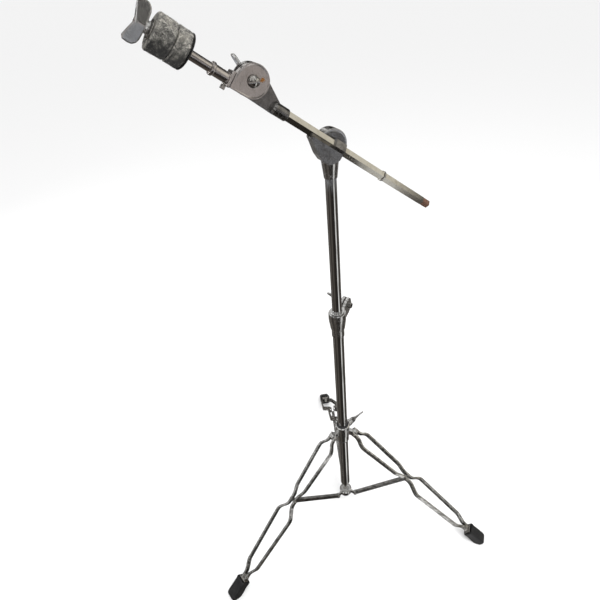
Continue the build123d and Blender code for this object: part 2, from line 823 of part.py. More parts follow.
def top_wing_nut():
    low = upper_felt_top() + top_washer_h + gap
    body = turned(*top_wing_hub) + wings(top_wing_corners, top_wing_thickness)
    body -= pin(thread_r + running, -1, 4 * wing_hub_h)
    return post_frame() * Pos(0, 0, low) * Rot(0, 0, top_wing_roll) * body


# --- the stand ---

def build_all():
    nodes = {
        "lower_tube": lower_tube(), "base_stud": base_stud(), "brace_hub": brace_hub(),
        "hub_nut": hub_nut(), "hub_pins": hub_pins(),
        "tripod_collar": tripod_collar(), "collar_bush": collar_bush(),
        "tripod_wing_bolt": tripod_wing_bolt(),
        "height_clamp": height_clamp(), "height_pins": height_pins(), "height_bush": height_bush(),
        "height_wing_bolt": height_wing_bolt(), "height_nut": height_nut(),
        "upper_tube": upper_tube(), "upper_guide": upper_guide(),
        "boom_socket": boom_socket(), "socket_pins": socket_pins(),
        "boom_holder": boom_holder(), "boom_bolt": boom_bolt(), "boom_washer": boom_washer(),
        "boom_wing_nut": boom_wing_nut(),
        "boom_rod": boom_rod(), "boom_end_cap": boom_end_cap(), "boom_stop_ring": boom_stop_ring(),
        "tilter_base": tilter_base(), "tilter_disc": tilter_disc(), "tilter_head": tilter_head(),
        "tilter_bolt": tilter_bolt(), "tilter_wing_nut": tilter_wing_nut(), "set_screw": set_screw(),
        "cymbal_post": cymbal_post(), "seat_cup": seat_cup(), "post_sleeve": post_sleeve(),
        "lower_felt": lower_felt(), "upper_felt": upper_felt(), "top_washer": top_washer(),
        "top_wing_nut": top_wing_nut(),
    }
    for k in range(leg_count):
        name = f"leg_{k + 1}"
        nodes[f"{name}_strap_left"] = strap(k, 1)
        nodes[f"{name}_strap_right"] = strap(k, -1)
        nodes[f"{name}_rivets"] = leg_rivets(k)
        nodes[f"{name}_core"] = leg_core(k)
        nodes[f"{name}_ferrule"] = ferrule(k)
        nodes[f"{name}_foot"] = rubber_foot(k)
        nodes[f"brace_{k + 1}"] = brace(k)
    return nodes


def box_shift(nodes):
    """The move that puts the bottom centre of the whole box at the origin."""
    boxes = [shape.bounding_box() for shape in nodes.values()]
    low_x, high_x = min(b.min.X for b in boxes), max(b.max.X for b in boxes)
    low_y, high_y = min(b.min.Y for b in boxes), max(b.max.Y for b in boxes)
    low_z = min(b.min.Z for b in boxes)
    return Vector(-(low_x + high_x) / 2, -(low_y + high_y) / 2, -low_z)


def main():
    nodes = build_all()
    shift = box_shift(nodes)
    for name, shape in nodes.items():
        export_step(Pos(*shift) * shape, f"parts/{name}.step")
    print("nodes", len(nodes), "shift", tuple(shift))
    print("folding lifts the collar", fold_travel, "and sets the braces at", folded_brace_angle)


if __name__ == "__main__":
    main()
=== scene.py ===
import json
import math
import random

import bmesh
import bpy
from mathutils import Matrix, Vector, noise


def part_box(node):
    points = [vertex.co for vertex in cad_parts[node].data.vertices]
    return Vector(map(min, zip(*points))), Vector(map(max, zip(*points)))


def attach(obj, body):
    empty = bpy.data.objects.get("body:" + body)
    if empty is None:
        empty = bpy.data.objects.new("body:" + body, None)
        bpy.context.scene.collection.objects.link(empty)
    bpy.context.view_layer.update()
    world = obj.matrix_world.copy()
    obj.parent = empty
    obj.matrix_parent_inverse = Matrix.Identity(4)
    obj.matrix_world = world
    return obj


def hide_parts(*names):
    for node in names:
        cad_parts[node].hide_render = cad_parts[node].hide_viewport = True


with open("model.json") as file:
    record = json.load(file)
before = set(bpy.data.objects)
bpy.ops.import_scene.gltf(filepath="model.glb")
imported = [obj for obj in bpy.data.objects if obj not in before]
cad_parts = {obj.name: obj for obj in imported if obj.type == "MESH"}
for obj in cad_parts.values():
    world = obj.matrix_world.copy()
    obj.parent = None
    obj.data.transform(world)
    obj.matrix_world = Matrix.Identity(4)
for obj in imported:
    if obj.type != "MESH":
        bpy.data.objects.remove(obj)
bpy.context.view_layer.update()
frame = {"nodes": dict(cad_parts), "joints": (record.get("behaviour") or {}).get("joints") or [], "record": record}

cadNodes = frame["nodes"]
joints = {joint["name"]: joint for joint in frame["joints"]}
mm = 0.001


def nodeCentre(name):
    low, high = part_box(name)
    return (low + high) / 2


tubeFoot = nodeCentre("lower_tube")
tubeFoot.z = 0.0  # floor point under the main tube

camera = {
    "place": (0.0, -0.68704, 1.17488),  # from the floor point under the tube
    "right": (0.99880551, -0.01720171, -0.04573464),
    "up": (0.04781053, 0.53723551, 0.8420761),
    "back": (0.01008513, -0.84325684, 0.53741621),
    "lens": 27.6,
    "sensor": 36,
    "shift": (-0.0501, -0.0644),
    "near": 0.02,
}


def makeCamera():
    data = bpy.data.cameras.new("camera")
    data.lens = camera["lens"]
    data.sensor_width = camera["sensor"]
    data.shift_x, data.shift_y = camera["shift"]
    data.clip_start = camera["near"]
    holder = bpy.data.objects.new("camera", data)
    bpy.context.scene.collection.objects.link(holder)
    turn = Matrix((camera["right"], camera["up"], camera["back"])).transposed().to_4x4()
    holder.matrix_world = Matrix.Translation(tubeFoot + Vector(camera["place"])) @ turn
    bpy.context.scene.camera = holder


makeCamera()
print("camera set")

boomAlong = Vector(joints["boom_slide"]["axis"])
boomAcross = Vector(joints["boom_tilt"]["axis"])  # square to the boom, towards the tube
boomUp = boomAcross.cross(boomAlong)
rodOffset = 23.5 * mm  # rod axis in front of the tube axis
boomOrigin = Vector(joints["boom_tilt"]["pos_m"]) - boomAcross * rodOffset


def axesMatrix(origin, x, y, z):
    turn = Matrix((x, y, z)).transposed().to_4x4()
    return Matrix.Translation(origin) @ turn


boomFrame = axesMatrix(boomOrigin, boomAlong, boomUp, boomAcross)
postFrame = axesMatrix(boomOrigin, -boomAcross, boomUp, boomAlong)  # z up the cymbal post
leg = {"angle": 48.387, "length": 372.24 * mm}  # degrees from straight down; hinge to the mouth of the foot


def legFrame(number):
    hinge = joints[f"leg_{number}_hinge"]
    azimuth = math.atan2(-hinge["axis"][0], hinge["axis"][1])
    droop = math.radians(90 - leg["angle"])
    turn = Matrix.Rotation(azimuth, 4, "Z") @ Matrix.Rotation(droop, 4, "Y")
    return Matrix.Translation(hinge["pos_m"]) @ turn


def newGroup(name, inputs, outputs):
    group = bpy.data.node_groups.new(name, "ShaderNodeTree")
    for label, kind, value in inputs:
        socket = group.interface.new_socket(label, in_out="INPUT", socket_type="NodeSocket" + kind)
        if value is not None:
            socket.default_value = value
    for label, kind in outputs:
        group.interface.new_socket(label, in_out="OUTPUT", socket_type="NodeSocket" + kind)
    return group


class Tree:
    # shorthand for adding and linking nodes in one shader tree
    def __init__(self, tree):
        self.tree = tree

    def add(self, kind, links=None, **values):
        node = self.tree.nodes.new("ShaderNode" + kind)
        for key, value in values.items():
            setattr(node, key, value)
        for key, value in (links or {}).items():
            if isinstance(value, bpy.types.NodeSocket):
                self.tree.links.new(value, node.inputs[key])
            else:
                node.inputs[key].default_value = value
        return node

    def noise(self, vector, scale, detail=3.0, rough=0.55, distort=0.0):
        node = self.add("TexNoise", {"Vector": vector, "Scale": scale, "Detail": detail,
                                     "Roughness": rough, "Distortion": distort})
        return node.outputs["Fac"]

    def ramp(self, value, low, high, first=0.0, last=1.0, smooth=True):
        node = self.add("MapRange", {"Value": value, "From Min": low, "From Max": high,
                                     "To Min": first, "To Max": last})
        node.interpolation_type = "SMOOTHSTEP" if smooth else "LINEAR"
        return node.outputs["Result"]

    def math(self, work, first, second=0.0, clamp=False):
        node = self.add("Math", {0: first, 1: second}, operation=work, use_clamp=clamp)
        return node.outputs[0]

    def plus(self, first, second, clamp=False):
        return self.math("ADD", first, second, clamp)

    def times(self, first, second, clamp=False):
        return self.math("MULTIPLY", first, second, clamp)

    def blend(self, first, firstShare, second, secondShare):
        return self.plus(self.times(first, firstShare), self.times(second, secondShare))

    def centred(self, value, width):
        # a 0 to 1 noise moved to swing about zero
        return self.times(self.math("SUBTRACT", value, 0.5), width)

    def mix(self, factor, first, second):
        node = self.add("Mix", data_type="RGBA")
        for key, kind, value in (("Factor", "VALUE", factor), ("A", "RGBA", first), ("B", "RGBA", second)):
            socket = [s for s in node.inputs if s.name == key and s.type == kind][0]
            if isinstance(value, bpy.types.NodeSocket):
                self.tree.links.new(value, socket)
            else:
                socket.default_value = value
        return [s for s in node.outputs if s.type == "RGBA"][0]

    def stretch(self, vector, scale):
        node = self.add("Mapping", {"Vector": vector, "Scale": scale})
        return node.outputs["Vector"]


# noise entries are scale, detail, roughness, distortion; ranges are the noise values where a layer fades in
plateLayers = {
    "cloud": (46.0, 6.0, 0.62, 0.6), "streak": (1.0, 4.0), "streakStretch": (260.0, 260.0, 18.0),
    "speck": (1150.0, 2.0), "freckle": (420.0, 5.0, 0.7), "patch": (23.0, 3.0),
    "cloudShare": 0.7, "streakShare": 0.3, "filmRange": (0.42, 0.66), "pitRange": (0.60, 0.72),
    "freckleRange": (0.60, 0.68), "patchRange": (0.46, 0.62), "cloudHeight": 0.35, "pitHeight": -0.8,
}


def buildPlateWear():
    # old plating: cloudy film with hairline scratches, fine pits, rust freckles
    group = newGroup("plateWear", [
        ("Vector", "Vector", None), ("Plate", "Color", None), ("Film", "Color", None),
        ("Rust", "Color", None), ("Film Amount", "Float", 0.4), ("Pit Amount", "Float", 0.3),
        ("Rust Amount", "Float", 0.2), ("Grain", "Float", 1.0), ("Smooth", "Float", 0.05),
        ("Rough", "Float", 0.3)], [("Color", "Color"), ("Roughness", "Float"), ("Height", "Float")])
    t = Tree(group)
    enter = group.nodes.new("NodeGroupInput").outputs
    leave = group.nodes.new("NodeGroupOutput").inputs
    layers = plateLayers
    grain = t.add("VectorMath", {0: enter["Vector"], 3: enter["Grain"]}, operation="SCALE").outputs[0]
    cloud = t.noise(grain, *layers["cloud"])
    streak = t.noise(t.stretch(grain, layers["streakStretch"]), *layers["streak"])
    speck = t.noise(grain, *layers["speck"])
    freckle = t.noise(grain, *layers["freckle"])
    patch = t.noise(grain, *layers["patch"])
    clouded = t.blend(cloud, layers["cloudShare"], streak, layers["streakShare"])
    film = t.times(t.ramp(clouded, *layers["filmRange"]), enter["Film Amount"], True)
    pits = t.times(t.ramp(speck, *layers["pitRange"]), enter["Pit Amount"], True)
    clustered = t.times(t.ramp(freckle, *layers["freckleRange"]), t.ramp(patch, *layers["patchRange"]))
    rust = t.times(clustered, enter["Rust Amount"], True)
    filmed = t.mix(film, enter["Plate"], enter["Film"])
    pitted = t.mix(pits, filmed, enter["Rust"])
    coloured = t.mix(rust, pitted, enter["Rust"])
    group.links.new(coloured, leave["Color"])
    worn = t.math("MAXIMUM", film, t.math("MAXIMUM", pits, rust))
    span = t.math("SUBTRACT", enter["Rough"], enter["Smooth"])
    group.links.new(t.plus(enter["Smooth"], t.times(worn, span), True), leave["Roughness"])
    height = t.blend(cloud, layers["cloudHeight"], t.plus(pits, rust), layers["pitHeight"])
    group.links.new(height, leave["Height"])
    return group


grainLayers = {
    "cloud": (90.0, 5.0, 0.6), "fine": (1600.0, 3.0), "scuff": (1.0, 4.0), "scuffStretch": (500.0, 90.0, 220.0),
    "cloudShare": 0.6, "scuffShare": 0.4, "dustRange": (0.46, 0.68), "cloudHeight": 1.5,
    "roughRange": (0.3, 1.2), "roughness": (0.42, 0.85),
}


def buildMouldGrain():
    # moulded rubber or plastic: dust in the low spots, fine grain
    group = newGroup("mouldGrain", [
        ("Vector", "Vector", None), ("Base", "Color", None), ("Dust", "Color", None),
        ("Dust Amount", "Float", 0.4), ("Grain", "Float", 1.0)],
        [("Color", "Color"), ("Roughness", "Float"), ("Height", "Float")])
    t = Tree(group)
    enter = group.nodes.new("NodeGroupInput").outputs
    leave = group.nodes.new("NodeGroupOutput").inputs
    layers = grainLayers
    place = t.add("VectorMath", {0: enter["Vector"], 3: enter["Grain"]}, operation="SCALE").outputs[0]
    cloud = t.noise(place, *layers["cloud"])
    fine = t.noise(place, *layers["fine"])
    scuff = t.noise(t.stretch(place, layers["scuffStretch"]), *layers["scuff"])
    settled = t.blend(cloud, layers["cloudShare"], scuff, layers["scuffShare"])
    dusty = t.times(t.ramp(settled, *layers["dustRange"]), enter["Dust Amount"], True)
    group.links.new(t.mix(dusty, enter["Base"], enter["Dust"]), leave["Color"])
    rough = t.ramp(t.plus(fine, dusty), *layers["roughRange"], *layers["roughness"])
    group.links.new(rough, leave["Roughness"])
    group.links.new(t.plus(fine, t.times(cloud, layers["cloudHeight"])), leave["Height"])
    return group


plateWear = buildPlateWear()
mouldGrain = buildMouldGrain()


def startMaterial(name, **shader):
    material = bpy.data.materials.new(name)
    material.use_nodes = True
    tree = material.node_tree
    tree.nodes.clear()
    t = Tree(tree)
    surface = t.add("BsdfPrincipled")
    for key, value in shader.items():
        surface.inputs[key.replace("_", " ")].default_value = value
    output = t.add("OutputMaterial")
    tree.links.new(surface.outputs[0], output.inputs["Surface"])
    return material, t, surface


def join(t, socket, target):
    t.tree.links.new(socket, target)


def bumped(t, surface, height, strength, distance):
    bump = t.add("Bump", {"Height": height, "Strength": strength, "Distance": distance})
    join(t, bump.outputs["Normal"], surface.inputs["Normal"])


def opaque(colour):
    return (*colour, 1.0)


def surfaced(t, surface, group, bump, distance):
    join(t, group.outputs["Color"], surface.inputs["Base Color"])
    join(t, group.outputs["Roughness"], surface.inputs["Roughness"])
    bumped(t, surface, group.outputs["Height"], bump, distance)


wearInputs = ("Film Amount", "Pit Amount", "Rust Amount", "Grain", "Smooth", "Rough")


def plateGroup(t, where, plate, film, rust, wear):
    # wear holds one value for each of wearInputs
    colours = {"Plate": opaque(plate), "Film": opaque(film), "Rust": opaque(rust)}
    return t.add("Group", {"Vector": where, **colours, **dict(zip(wearInputs, wear))}, node_tree=plateWear)


def plated(name, plate, film, rust, wear, bump=0.25, distance=0.0004):
    material, t, surface = startMaterial(name, Metallic=1.0)
    where = t.add("TexCoord").outputs["Object"]
    surfaced(t, surface, plateGroup(t, where, plate, film, rust, wear), bump, distance)
    return material


def moulded(name, base, dust, amount, grain, bump, distance, **shader):
    material, t, surface = startMaterial(name, **shader)
    where = t.add("TexCoord").outputs["Object"]
    group = t.add("Group", {"Vector": where, "Base": opaque(base), "Dust": opaque(dust),
                            "Dust Amount": amount, "Grain": grain}, node_tree=mouldGrain)
    surfaced(t, surface, group, bump, distance)
    return material


tilterFace = {
    "plate": (0.60, 0.565, 0.545), "film": (0.40, 0.365, 0.34), "rust": (0.28, 0.12, 0.04),
    "wear": (0.4, 0.12, 0.4, 1.5, 0.20, 0.36), "bump": 0.12, "bumpDistance": 0.0004,
    "stain": (0.62, 0.27, 0.05), "stainRange": (0.0016, 0.0038), "stainStrength": 0.9, "stainRough": 0.4,
    "ragged": 0.006, "raggedNoise": (500.0, 4.0),
}


def tilterFaceMaterial(spot):
    # brushed satin plate with one orange rust stain beside the bolt
    face = tilterFace
    material, t, surface = startMaterial("tilterFace", Metallic=1.0)
    where = t.add("TexCoord").outputs["Object"]
    group = plateGroup(t, where, face["plate"], face["film"], face["rust"], face["wear"])
    away = t.add("VectorMath", {0: where, 1: tuple(spot)}, operation="DISTANCE").outputs["Value"]
    ragged = t.plus(away, t.centred(t.noise(where, *face["raggedNoise"]), face["ragged"]))
    stain = t.ramp(ragged, *face["stainRange"], face["stainStrength"], 0.0)
    join(t, t.mix(stain, group.outputs["Color"], opaque(face["stain"])), surface.inputs["Base Color"])
    rough = t.plus(group.outputs["Roughness"], t.times(stain, face["stainRough"]), True)
    join(t, rough, surface.inputs["Roughness"])
    bumped(t, surface, group.outputs["Height"], face["bump"], face["bumpDistance"])
    return material


wool = {
    "mat": (210.0, 6.0, 0.72, 1.4), "fibre": (1.0, 5.0, 0.75, 2.2), "fibreStretch": (700.0, 1500.0, 900.0),
    "lump": (70.0, 3.0), "lumpRange": (0.5, 0.72), "warmth": 0.4,
    "dark": (0.03, 0.029, 0.027), "middle": (0.16, 0.155, 0.142), "pale": (0.50, 0.475, 0.42),
    "warm": (0.34, 0.32, 0.275), "paintedShade": (0.012, 0.012, 0.012), "stops": (0.44, 0.505, 0.57),
    "sheen": 0.06, "sheenRough": 0.6, "specular": 0.1, "rough": 0.95,
    "fibreHeight": 0.8, "bump": 0.9, "bumpDistance": 0.0016,
}


def woolMaterial():
    # pressed wool: pale and dark fibres matted together, painted shade from the vertex attribute
    material, t, surface = startMaterial(
        "greyWool", Sheen_Weight=wool["sheen"], Sheen_Roughness=wool["sheenRough"],
        Specular_IOR_Level=wool["specular"], Roughness=wool["rough"])
    where = t.add("TexCoord").outputs["Object"]
    mat = t.noise(where, *wool["mat"])
    fibre = t.noise(t.stretch(where, wool["fibreStretch"]), *wool["fibre"])
    lump = t.noise(where, *wool["lump"])
    tone = t.add("ValToRGB", {"Fac": t.blend(mat, 0.5, fibre, 0.5)})
    stops = tone.color_ramp.elements
    darkAt, middleAt, paleAt = wool["stops"]
    stops[0].position, stops[0].color = darkAt, opaque(wool["dark"])
    stops[1].position, stops[1].color = paleAt, opaque(wool["pale"])
    stops.new(middleAt).color = opaque(wool["middle"])
    warmed = t.times(t.ramp(lump, *wool["lumpRange"]), wool["warmth"])
    warm = t.mix(warmed, tone.outputs["Color"], opaque(wool["warm"]))
    # painted shade: the near-black colour is laid on where the vertex attribute says, mostly on the felts'
    # down-facing side
    paintedShade = t.add("Attribute", attribute_name="paintedShade").outputs["Fac"]
    join(t, t.mix(paintedShade, warm, opaque(wool["paintedShade"])), surface.inputs["Base Color"])
    height = t.plus(t.times(fibre, wool["fibreHeight"]), mat)
    bumped(t, surface, height, wool["bump"], wool["bumpDistance"])
    return material


brightPlate = (0.60, 0.60, 0.595)
greyFilm = (0.33, 0.325, 0.31)
rustBrown = (0.16, 0.075, 0.035)
# plated entries: plate, film and rust colours, then film, pits, rust, grain, smooth and rough, then bump
finishes = {
    "tube_chrome": plated("tubeChrome", brightPlate, greyFilm, rustBrown,
                          (0.12, 0.05, 0.12, 1.0, 0.03, 0.16), 0.05),
    "cast_chrome": plated("castChrome", brightPlate, (0.30, 0.29, 0.28), rustBrown,
                          (0.16, 0.12, 0.35, 1.6, 0.05, 0.22), 0.6, 0.0016),
    "satin_chrome": plated("satinChrome", (0.60, 0.565, 0.545), (0.36, 0.33, 0.31), (0.30, 0.12, 0.04),
                           (0.35, 0.10, 0.5, 1.5, 0.16, 0.34), 0.12),
    "wing_chrome": plated("wingChrome", brightPlate, (0.27, 0.26, 0.26), rustBrown,
                          (0.16, 0.12, 0.25, 1.8, 0.045, 0.22), 0.4, 0.0012),
    "hardware_steel": plated("hardwareSteel", (0.52, 0.51, 0.49), (0.30, 0.28, 0.25), rustBrown,
                             (0.5, 0.35, 0.6, 2.2, 0.12, 0.4)),
    "boom_chrome": plated("boomChrome", (0.60, 0.585, 0.54), (0.40, 0.36, 0.28), (0.20, 0.10, 0.05),
                          (0.45, 0.2, 0.5, 1.2, 0.09, 0.30), 0.15),
    "worn_tip": plated("wornTip", (0.42, 0.25, 0.19), (0.30, 0.16, 0.11), (0.10, 0.05, 0.03),
                       (0.9, 0.5, 0.8, 1.5, 0.25, 0.6)),
    "strap_chrome": plated("strapChrome", (0.62, 0.62, 0.61), (0.05, 0.047, 0.044), (0.10, 0.055, 0.03),
                           (0.85, 0.5, 0.8, 2.6, 0.06, 0.24), 0.9, 0.0020),
    "dark_steel": plated("darkSteel", (0.05, 0.05, 0.05), (0.03, 0.03, 0.03), (0.06, 0.03, 0.02),
                         (0.5, 0.3, 0.4, 1.5, 0.3, 0.55)),
    "nylon": moulded("blackNylon", (0.022, 0.022, 0.023), (0.09, 0.088, 0.085), 0.35, 1.4, 0.2, 0.0003),
    "foot_rubber": moulded("footRubber", (0.009, 0.009, 0.010), (0.05, 0.048, 0.044), 0.3, 1.0, 0.5, 0.0006,
                           Specular_IOR_Level=0.45),
    "wool_felt": woolMaterial(),
    # a darker copy of the cast chrome, painted shade for the castings that sit in shadow
    "shaded_chrome": plated("shadedChrome", (0.26, 0.255, 0.25), (0.10, 0.095, 0.09), rustBrown,
                            (0.7, 0.12, 0.3, 1.6, 0.07, 0.26), 0.6, 0.0016),
}
slotOf = {part["node"]: part["material_slot"] for part in frame["record"]["subparts"]}


def dressNodes():
    for name, piece in cadNodes.items():
        piece.data.materials.clear()
        piece.data.materials.append(finishes[slotOf[name]])


dressNodes()
print("materials made")


def shadeSmooth(data):
    data.polygons.foreach_set("use_smooth", [True] * len(data.polygons))


def asObject(name, bm, slot, body, nodes, matrix=None):
    # puts the finished mesh in the scene, riding on its body
    if matrix is not None:
        bm.transform(matrix)
    bmesh.ops.recalc_face_normals(bm, faces=bm.faces)
    data = bpy.data.meshes.new(name)
    bm.to_mesh(data)
    bm.free()
    shadeSmooth(data)
    piece = bpy.data.objects.new(name, data)
    bpy.context.scene.collection.objects.link(piece)
    data.materials.append(finishes[slot])
    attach(piece, body)
    if nodes:
        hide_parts(*nodes)
    return piece


def addModifier(piece, kind, **values):
    modifier = piece.modifiers.new(kind.lower(), kind)
    for key, value in values.items():
        setattr(modifier, key, value)
    return modifier


def roundEdges(piece, width, settings):
    addModifier(piece, "BEVEL", width=width * mm, segments=settings["segments"], limit_method="ANGLE",
                angle_limit=math.radians(settings["sharp"]))
    addModifier(piece, "WEIGHTED_NORMAL", keep_sharp=False)


def bakeModifiers(piece):
    # replaces the mesh by what the modifiers make of it
    graph = bpy.context.evaluated_depsgraph_get()
    graph.update()
    result = bpy.data.meshes.new_from_object(piece.evaluated_get(graph))
    old = piece.data
    piece.modifiers.clear()
    piece.data = result
    bpy.data.meshes.remove(old)
    shadeSmooth(result)


weldGap = 1e-6  # vertices closer than this are one


def weld(bm):
    bmesh.ops.remove_doubles(bm, verts=bm.verts, dist=weldGap)


def wholeMesh(bm):
    return bm.verts[:] + bm.edges[:] + bm.faces[:]


def spun(bm, profile, steps=48, closed=False):
    # a (radius, height) line turned about z
    verts = [bm.verts.new((radius, 0, height)) for radius, height in profile]
    edges = [bm.edges.new(pair) for pair in zip(verts, verts[1:])]
    if closed:
        edges.append(bm.edges.new((verts[-1], verts[0])))
    bmesh.ops.spin(bm, geom=verts + edges, cent=(0, 0, 0), axis=(0, 0, 1), angle=math.tau,
                   steps=steps, use_merge=True)
    weld(bm)


def plateFrom(bm, outline, thickness):
    # a flat blade with this (x, z) outline, its thickness along y
    verts = [bm.verts.new((x, -thickness / 2, z)) for x, z in outline]
    face = bm.faces.new(verts)
    made = bmesh.ops.extrude_face_region(bm, geom=[face])
    moved = [item for item in made["geom"] if isinstance(item, bmesh.types.BMVert)]
    bmesh.ops.translate(bm, verts=moved, vec=(0, thickness, 0))
    return verts + moved


def bevelAll(bm, edges, width, segments=2):
    bmesh.ops.bevel(bm, geom=edges, offset=width, affect="EDGES", segments=segments, profile=0.5, material=-1)


def melted(piece, voxel, passes):
    # runs separate solids together and rounds them the way a casting is
    addModifier(piece, "REMESH", mode="VOXEL", voxel_size=voxel, use_smooth_shade=True)
    addModifier(piece, "SMOOTH", factor=0.5, iterations=passes)
    bakeModifiers(piece)


# hub: radius, height; blade: distance from the axis, height; root: thickness at the axis, back to
# the blade's own at the spread; voxel and passes set how far the joined solids melt together
wing = {
    "hub": [(6.5, 0), (6.5, 6), (5.2, 12)],
    "blade": [(0, 2.2), (8, 2.4), (16, 4), (21, 7.2), (27, 12.6), (29.6, 16.6), (30, 21), (29.6, 25.4),
              (28, 27.6), (25.4, 27.4), (16, 20.2), (8, 14.6), (0, 11.6)],
    "thickness": 3.4, "root": 9.5, "spread": 15, "edge": 1.1, "voxel": 0.45, "passes": 5,
}
topWing = {
    "hub": [(7.5, 0), (7.5, 2.3), (5.6, 4.2), (5.6, 12)],
    "blade": [(0, 3.8), (8, 3.6), (15.5, 3.9), (20, 5.2), (23.6, 8.8), (24.4, 14), (23.4, 19.8), (20.2, 21.5),
              (10, 18.4), (0, 15.2)],
    "thickness": 3.0, "root": 11.5, "spread": 22, "edge": 1.0, "voxel": 0.42, "passes": 4,
}


hubSteps = 64


def wingPiece(name, shape, body, node, matrix, bore=0.0):
    bm = bmesh.new()
    hub = [(bore, 0), *shape["hub"], (bore, shape["hub"][-1][1])]
    spun(bm, [(r * mm, z * mm) for r, z in hub], hubSteps, closed=bore > 0)
    for side in (1, -1):
        outline = [(side * x * mm, z * mm) for x, z in shape["blade"]]
        before = set(bm.edges)
        for v in plateFrom(bm, outline, shape["thickness"] * mm):
            near = max(0.0, 1 - abs(v.co.x) / mm / shape["spread"])  # the blade thickens into the hub
            v.co.y *= 1 + near * (shape["root"] / shape["thickness"] - 1)
        bevelAll(bm, [edge for edge in bm.edges if edge not in before], shape["edge"] * mm, 3)
    piece = asObject(name, bm, "wing_chrome", body, [node], matrix)
    melted(piece, shape["voxel"] * mm, shape["passes"])


def along(distance):
    return Matrix.Translation((0, 0, distance * mm))


def rolled(degrees):
    return Matrix.Rotation(math.radians(degrees), 4, "Z")


def beside(x, y, z):
    return Matrix.Translation((x * mm, y * mm, z * mm))


# azimuth round the tube in degrees, distance out from it, height above the floor
bolts = {"tripod": (39.4, 24.35, 283), "height": (59, 36, 616)}


def boltFrame(bolt, turn):
    # z along a bolt that stands off the tube
    azimuth, reach, height = bolts[bolt]
    return Matrix.Translation(tubeFoot) @ rolled(azimuth) @ beside(reach, 0, height) @ turn


tripodBoltFrame = boltFrame("tripod", Matrix.Rotation(math.pi / 2, 4, "Y"))
earFrame = boltFrame("height", Matrix.Rotation(-math.pi / 2, 4, "X"))
tilterAxis = (162.5, 13.5)  # along the boom and above its axis
tilterFrame = boomFrame @ beside(*tilterAxis, 0)
# settings, body, node, frame, start along the axis, roll in degrees, bore radius
wings = {
    "tripod_wing": (wing, "tripod_bolt", "tripod_wing_bolt", tripodBoltFrame, 0, 30, 0.0),
    "height_wing": (wing, "height_bolt", "height_wing_bolt", earFrame, 7.35, 62, 0.0),
    "boom_wing": (wing, "boom_nut", "boom_wing_nut", boomFrame, 37.7, 10, 4.05),
    "tilter_wing": (wing, "tilter_nut", "tilter_wing_nut", tilterFrame, 10.35, 35, 4.05),
    "top_wing": (topWing, "top_nut", "top_wing_nut", postFrame, 289.5, 90, 4.5),
}
for name, (shape, body, node, axis, start, roll, bore) in wings.items():
    wingPiece(name, shape, body, node, axis @ along(start) @ rolled(roll), bore)
print("wing nuts made")


# castings and turned pieces get the small edge round that plating shows as a bright line
edgeRound = {
    "boom_holder": 1.1, "boom_socket": 0.9, "boom_bolt": 0.35, "height_clamp": 0.8, "height_bush": 0.7,
    "tripod_collar": 0.9, "brace_hub": 0.7, "tilter_base": 1.1, "boom_stop_ring": 0.35, "set_screw": 0.4,
    "seat_cup": 0.4, "boom_washer": 0.3, "height_nut": 0.4, "hub_nut": 0.5, "top_washer": 0.35,
}
# painted shade: these castings take the darker copy of the chrome
shadedCastings = ("tilter_base", "boom_holder")
casting = {"flat": 0.6, "sharp": 34, "segments": 3}  # degrees below which faces merge, above which edges round
bodyOf = {node: body for body, nodes in frame["record"]["behaviour"]["bodies"].items() for node in nodes}


def softened(node, width):
    bm = bmesh.new()
    bm.from_mesh(cadNodes[node].data)
    weld(bm)
    bmesh.ops.dissolve_limit(bm, angle_limit=math.radians(casting["flat"]), verts=bm.verts, edges=bm.edges)
    piece = asObject(f"{node}_cast", bm, slotOf[node], bodyOf[node], [node])
    # painted shade: a darker chrome in place of their own finish
    if node in shadedCastings:
        piece.data.materials[0] = finishes["shaded_chrome"]
    roundEdges(piece, width, casting)


for node, width in edgeRound.items():
    softened(node, width)
print("castings softened")

head = {
    "centre": tilterAxis, "radius": 21.5, "arc": (18.4, 268.8), "arcSteps": 44,
    "corners": [(186, -8.5), (186, 11.0)], "back": -1.1, "front": -10.0, "edge": 0.45,
    "rim": 1.9, "rimSlope": 0.5, "recess": 0.9,
    "flange": ((186, -9.5, -10), (190.5, 11.5, 10)), "flangeRound": 1.4,
    "neck": [(6.05, 188), (7.2, 188), (7.2, 208.6), (7.9, 209.4), (8.6, 210.2), (8.6, 213.2), (8.0, 214),
             (6.05, 214)],
    "stain": (153.4, 20.5, -9.1), "faceArea": 4e-4,
}


